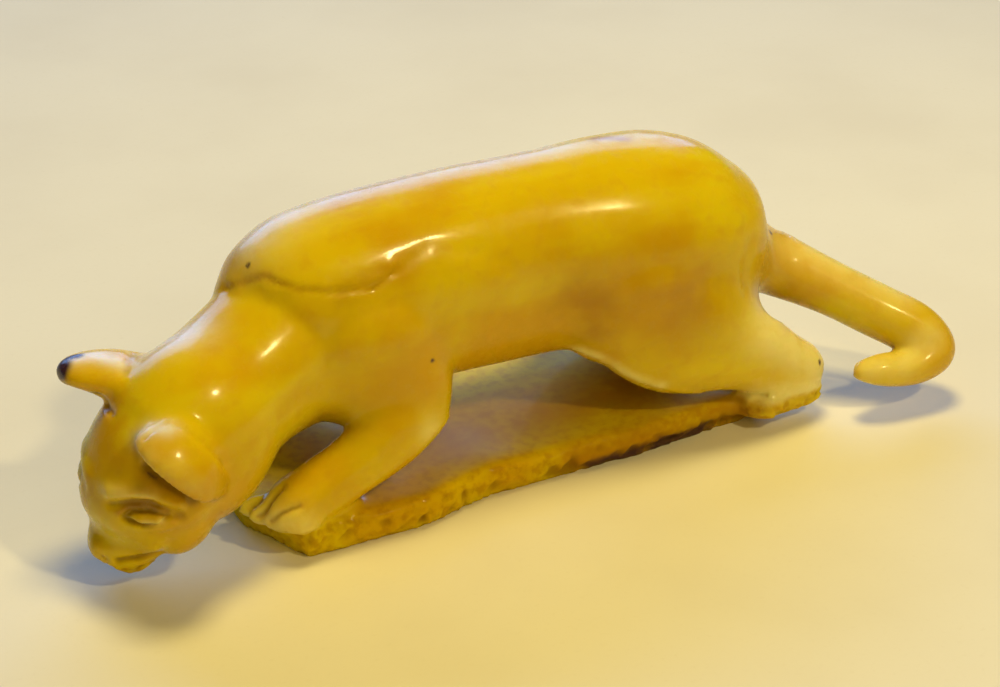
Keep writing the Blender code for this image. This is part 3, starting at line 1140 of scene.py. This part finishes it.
class Graph:
    """A material's nodes, added and joined by short calls."""

    def __init__(self, name: str) -> None:
        """Start a material with a shader and the object's coordinates.

        Args:
            name: the material's name.
        """
        self.material = bpy.data.materials.new(name)
        self.material.use_nodes = True
        self.tree = self.material.node_tree
        self.shader = self.tree.nodes["Principled BSDF"]
        self.here = self.add("ShaderNodeTexCoord").outputs["Object"]

    def add(self, kind: str, **settings: object) -> bpy.types.Node:
        """Add a node.

        Args:
            kind: the node's type.
            settings: its properties.

        Returns:
            The node.
        """
        node = self.tree.nodes.new(kind)
        for key, value in settings.items():
            setattr(node, key, value)
        return node

    def join(self, source: bpy.types.NodeSocket, target: bpy.types.NodeSocket) -> None:
        """Link two sockets."""
        self.tree.links.new(source, target)

    def read(self, name: str) -> bpy.types.NodeSocket:
        """The value that the mesh's points carry under a name."""
        return self.add("ShaderNodeAttribute", attribute_name=name).outputs["Fac"]

    def noise(self, grain: Grain) -> bpy.types.NodeSocket:
        """Noise in the object's coordinates.

        Args:
            grain: how the noise looks.

        Returns:
            The noise's value.
        """
        mapping = self.add("ShaderNodeMapping")
        mapping.inputs["Scale"].default_value = grain.stretch
        self.join(self.here, mapping.inputs["Vector"])
        texture = self.add("ShaderNodeTexNoise")
        texture.inputs["Scale"].default_value = grain.scale
        texture.inputs["Detail"].default_value = grain.detail
        self.join(mapping.outputs["Vector"], texture.inputs["Vector"])
        return texture.outputs["Fac"]

    def broken(self, strength: bpy.types.NodeSocket, patches: Patches) -> bpy.types.NodeSocket:
        """A coloured mark's strength, broken up by noise."""
        return self.times(strength, self.span(self.noise(patches.grain), patches.rise, (patches.least, 1.0)))

    def span(
        self,
        value: bpy.types.NodeSocket,
        start: tuple[float, float],
        end: tuple[float, float] = (0.0, 1.0),
    ) -> bpy.types.NodeSocket:
        """A value moved smoothly from one range to another and kept within it.

        Args:
            value: the value.
            start: the range it is in.
            end: the range it is to be in.

        Returns:
            The new value.
        """
        node = self.add("ShaderNodeMapRange", interpolation_type="SMOOTHSTEP")
        self.join(value, node.inputs["Value"])
        for socket, number in zip(("From Min", "From Max", "To Min", "To Max"), (*start, *end)):
            node.inputs[socket].default_value = number
        return node.outputs["Result"]

    def times(self, first: bpy.types.NodeSocket, second: bpy.types.NodeSocket) -> bpy.types.NodeSocket:
        """The product of two values."""
        node = self.add("ShaderNodeMath", operation="MULTIPLY")
        self.join(first, node.inputs[0])
        self.join(second, node.inputs[1])
        return node.outputs["Value"]

    def most(self, first: bpy.types.NodeSocket, second: bpy.types.NodeSocket) -> bpy.types.NodeSocket:
        """The greater of two values."""
        node = self.add("ShaderNodeMath", operation="MAXIMUM")
        self.join(first, node.inputs[0])
        self.join(second, node.inputs[1])
        return node.outputs["Value"]

    def blend(
        self,
        share: bpy.types.NodeSocket,
        first: bpy.types.NodeSocket | Colour,
        second: bpy.types.NodeSocket | Colour,
    ) -> bpy.types.NodeSocket:
        """A blend of two colours.

        Args:
            share: how much of the second.
            first: a colour, plain or from a socket.
            second: the other colour.

        Returns:
            The blended colour.
        """
        node = self.add("ShaderNodeMix", data_type="RGBA")
        self.join(share, node.inputs["Factor"])
        colours = [socket for socket in node.inputs if socket.type == "RGBA"]
        for socket, colour in zip(colours, (first, second)):
            if isinstance(colour, bpy.types.NodeSocket):
                self.join(colour, socket)
            else:
                socket.default_value = (*colour, 1.0)
        return next(socket for socket in node.outputs if socket.type == "RGBA")

    def bumps(self, layers: list[tuple[bpy.types.NodeSocket, float, float]]) -> None:
        """Bump the shader's surface.

        Args:
            layers: for each layer its height, its strength and how high it rises, in metres.
        """
        before = None
        for height, strength, rise in layers:
            node = self.add("ShaderNodeBump")
            node.inputs["Strength"].default_value = strength
            node.inputs["Distance"].default_value = rise
            self.join(height, node.inputs["Height"])
            if before is not None:
                self.join(before, node.inputs["Normal"])
            before = node.outputs["Normal"]
        if before is not None:
            self.join(before, self.shader.inputs["Normal"])


@dataclass(frozen=True)
class BoneFinish:
    """Yellowed, polished bone: honey, painted paler where thin as a glow of light through it, discoloured brown,
    with painted shade, painted highlights and painted window reflections, spongy along the strip.
    """

    honey: Colour = (0.70, 0.52, 0.002)
    amber: Colour = (0.62, 0.37, 0.002)
    lemon: Colour = (0.74, 0.61, 0.006)
    pale: Colour = (0.89, 0.81, 0.36)
    # colour of the painted window reflection
    painted_reflection: Colour = (0.78, 0.74, 0.84)
    brown: Colour = (0.42, 0.21, 0.003)
    # colour of the painted shade in the carved cuts
    recess_shade: Colour = (0.24, 0.12, 0.006)
    black: Colour = (0.05, 0.022, 0.042)

    clouds: Grain = Grain(75.0, 4.0)
    streaks: Grain = Grain(120.0, 4.0, (0.35, 1.6, 1.6))
    mottles: Grain = Grain(620.0, 5.0)
    scratches: Grain = Grain(2600.0)
    waves: Grain = Grain(260.0)
    sponge: Grain = Grain(900.0, 5.0)
    brown_patches: Patches = Patches(Grain(210.0, 4.0), (0.28, 0.58), 0.45)
    pale_patches: Patches = Patches(Grain(330.0, 4.0), (0.25, 0.55), 0.55)
    painted_reflection_patches: Patches = Patches(Grain(420.0, 4.0), (0.25, 0.55), 0.5)
    black_patches: Patches = Patches(Grain(500.0, 4.0), (0.25, 0.5), 0.6)
    glow: float = 0.35
    glow_reach: Colour = (1.0, 0.6, 0.12)
    glow_depth: float = 0.0028

    def material(self) -> bpy.types.Material:
        """The bone's material."""
        graph = Graph("polished_bone")
        clouds = graph.noise(self.clouds)
        mottles = graph.noise(self.mottles)
        strip = graph.read("strip")
        colour = self.stained_and_lit(graph, self.unstained(graph, clouds, mottles), strip)
        graph.join(colour, graph.shader.inputs["Base Color"])
        self.polish(graph, clouds, mottles, strip)
        waves = graph.noise(self.waves)
        graph.bumps([(waves, 0.25, 0.00012), (mottles, 0.20, 0.00005), (graph.noise(self.scratches), 0.12, 0.00002)])
        return graph.material

    def unstained(
        self, graph: Graph, clouds: bpy.types.NodeSocket, mottles: bpy.types.NodeSocket
    ) -> bpy.types.NodeSocket:
        """The cloudy, streaked colour of clean bone."""
        colour = graph.blend(graph.span(clouds, (0.36, 0.62)), self.amber, self.honey)
        streaks = graph.span(graph.noise(self.streaks), (0.48, 0.74), (0.0, 0.75))
        colour = graph.blend(streaks, colour, self.lemon)
        return graph.blend(graph.span(mottles, (0.50, 0.78), (0.0, 0.40)), colour, self.amber)

    def stained_and_lit(
        self, graph: Graph, colour: bpy.types.NodeSocket, strip: bpy.types.NodeSocket
    ) -> bpy.types.NodeSocket:
        """The colour with real discolouring, painted reflections, highlights and shade, thin places painted paler,
        the strip's spongy edge and cuts painted dark as shade over it.

        Args:
            graph: the material's nodes.
            colour: the clean bone's colour.
            strip: how much of the strip's edge every place is.

        Returns:
            The finished colour.
        """
        # brown: real discolouring, with the painted shade on the head and the painted shadows on the strip
        colour = graph.blend(graph.broken(graph.read("brown"), self.brown_patches), colour, self.brown)
        # thin places painted paler: painted glow of light shining through thin bone, joined with the pale marks
        thin = graph.span(graph.read("thin"), (0.5, 1.0), (0.0, 0.35))
        pale = graph.times(graph.most(graph.read("pale"), thin), graph.span(strip, (0.0, 1.0), (1.0, 0.1)))
        colour = graph.blend(graph.broken(pale, self.pale_patches), colour, self.pale)
        # painted window reflections, broken up by noise
        colour = graph.blend(graph.broken(graph.read("painted_reflection"), self.painted_reflection_patches), colour, self.painted_reflection)
        spongy = graph.times(strip, graph.span(graph.noise(self.sponge), (0.42, 0.68), (0.0, 0.6)))
        colour = graph.blend(spongy, colour, self.brown)
        # painted shade in the carved cuts
        colour = graph.blend(graph.span(graph.read("cut"), (0.04, 0.8), (0.0, 0.65)), colour, self.recess_shade)
        # black: real specks and the far ear's dark tip, with painted contact shadow on the strip and painted shade
        # in the ear's hollow
        black = graph.broken(graph.read("black"), self.black_patches)
        return graph.blend(graph.span(black, (0.15, 0.65)), colour, self.black)

    def polish(
        self,
        graph: Graph,
        clouds: bpy.types.NodeSocket,
        mottles: bpy.types.NodeSocket,
        strip: bpy.types.NodeSocket,
    ) -> None:
        """Polish the bone, worn in mottles and dull along the strip, and let light into it.

        Args:
            graph: the material's nodes.
            clouds: the widest noise.
            mottles: the narrower noise.
            strip: how much of the strip's edge every place is.
        """
        shader = graph.shader
        worn = graph.span(mottles, (0.35, 0.75), (0.20, 0.40))
        worn = graph.most(worn, graph.span(strip, (0.1, 1.0), (0.2, 0.5)))
        graph.join(worn, shader.inputs["Roughness"])
        graph.join(graph.span(strip, (0.0, 0.8), (0.16, 0.02)), shader.inputs["Specular IOR Level"])
        graph.join(graph.span(strip, (0.0, 0.8), (0.24, 0.03)), shader.inputs["Coat Weight"])
        graph.join(graph.span(clouds, (0.3, 0.7), (0.06, 0.16)), shader.inputs["Coat Roughness"])
        shader.inputs["Subsurface Weight"].default_value = self.glow
        shader.inputs["Subsurface Radius"].default_value = self.glow_reach
        shader.inputs["Subsurface Scale"].default_value = self.glow_depth


@dataclass(frozen=True)
class FloorFinish:
    """Pale painted table, faintly blotched."""

    pale: Colour = (0.84, 0.81, 0.74)
    dull: Colour = (0.77, 0.73, 0.65)
    roughness: float = 0.75
    blotches: Grain = Grain(28.0, 5.0)
    speckle: Grain = Grain(1500.0, 4.0)
    waves: Grain = Grain(160.0, 4.0)

    def material(self) -> bpy.types.Material:
        """The table's material."""
        graph = Graph("pale_table")
        blotches = graph.noise(self.blotches)
        speckle = graph.noise(self.speckle)
        colour = graph.blend(graph.span(blotches, (0.35, 0.75), (0.0, 0.7)), self.pale, self.dull)
        colour = graph.blend(graph.span(speckle, (0.55, 0.8), (0.0, 0.35)), colour, self.dull)
        graph.join(colour, graph.shader.inputs["Base Color"])
        graph.shader.inputs["Roughness"].default_value = self.roughness
        graph.bumps([(speckle, 0.10, 0.00005), (graph.noise(self.waves), 0.15, 0.0002)])
        return graph.material


@dataclass(frozen=True)
class Lamp:
    """A soft rectangular light that looks at a point."""

    name: str
    place: Point
    looks_at: Point
    width: float
    height: float
    watts: float
    colour: Colour
    gleams: bool = True

    def build(self) -> None:
        """Hang the light."""
        data = bpy.data.lights.new(self.name, "AREA")
        data.shape = "RECTANGLE"
        data.size = self.width
        data.size_y = self.height
        data.energy = self.watts
        data.color = self.colour
        lamp = bpy.data.objects.new(self.name, data)
        lamp.location = self.place
        away = Vector(self.looks_at) - Vector(self.place)
        lamp.rotation_euler = away.to_track_quat("-Z", "Y").to_euler()
        lamp.visible_glossy = self.gleams
        bpy.context.scene.collection.objects.link(lamp)


@dataclass(frozen=True)
class Studio:
    """The table, the lights and the camera."""

    aim: Point = (0.001, 0.0015, 0.0105)
    elevation: float = 29.5
    turned: float = 26.5
    distance: float = 0.300
    lens: float = 99.36
    film_width: float = 36.0
    nearest: float = 0.01
    table_half: float = 1.5
    room: Colour = (0.62, 0.54, 0.42)
    room_light: float = 0.05
    middle: Point = (0.0, 0.0, 0.0)
    lamps: tuple[Lamp, ...] = (
        Lamp("window", (0.32, 1.20, 0.56), middle, 1.7, 0.8, 17.5, (0.28, 0.51, 1.0)),
        Lamp("ceiling_lamp", (0.03, 0.04, 0.36), middle, 0.10, 0.10, 0.87, (1.0, 0.78, 0.24), gleams=False),
        Lamp("desk_lamp", (0.12, -0.28, 0.34), middle, 0.03, 0.03, 0.54, (1.0, 0.80, 0.34)),
        Lamp("room_lamp", (-0.05, -0.55, 0.30), middle, 0.4, 0.3, 0.80, (1.0, 0.78, 0.20), gleams=False),
    )

    def build(self) -> None:
        """Set up the table, the lights and the camera."""
        world = bpy.data.worlds.new("room")
        world.use_nodes = True
        background = world.node_tree.nodes["Background"]
        background.inputs["Color"].default_value = (*self.room, 1.0)
        background.inputs["Strength"].default_value = self.room_light
        bpy.context.scene.world = world
        bpy.context.scene.view_settings.view_transform = "Standard"
        for lamp in self.lamps:
            lamp.build()
        self.table()
        self.camera()

    def table(self) -> None:
        """Lay the table."""
        top = bmesh.new()
        bmesh.ops.create_grid(top, x_segments=1, y_segments=1, size=self.table_half)
        mesh = bpy.data.meshes.new("table_top")
        top.to_mesh(mesh)
        top.free()
        table = bpy.data.objects.new("table_top", mesh)
        mesh.materials.append(FloorFinish().material())
        bpy.context.scene.collection.objects.link(table)

    def camera(self) -> None:
        """Stand the camera where the photograph was taken."""
        rise = math.radians(self.elevation)
        turn = math.radians(self.turned)
        back = Vector((-math.sin(turn) * math.cos(rise), -math.cos(turn) * math.cos(rise), math.sin(rise)))
        data = bpy.data.cameras.new("camera")
        data.sensor_fit = "HORIZONTAL"
        data.sensor_width = self.film_width
        data.lens = self.lens
        data.clip_start = self.nearest
        camera = bpy.data.objects.new("camera", data)
        camera.location = Vector(self.aim) + back * self.distance
        camera.rotation_euler = (-back).to_track_quat("-Z", "Y").to_euler()
        bpy.context.scene.collection.objects.link(camera)
        bpy.context.scene.camera = camera


def main() -> None:
    """Build the pieces, the table, the lights and the camera, and log the carving's number of faces."""
    logging.basicConfig(level=logging.INFO, format="%(name)s: %(message)s")
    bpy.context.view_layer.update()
    carving = Carving().build()
    carving.data.materials.append(BoneFinish().material())
    LOG.info("%s: %d faces", carving.name, len(carving.data.polygons))
    Studio().build()


if __name__ == "__main__":
    main()
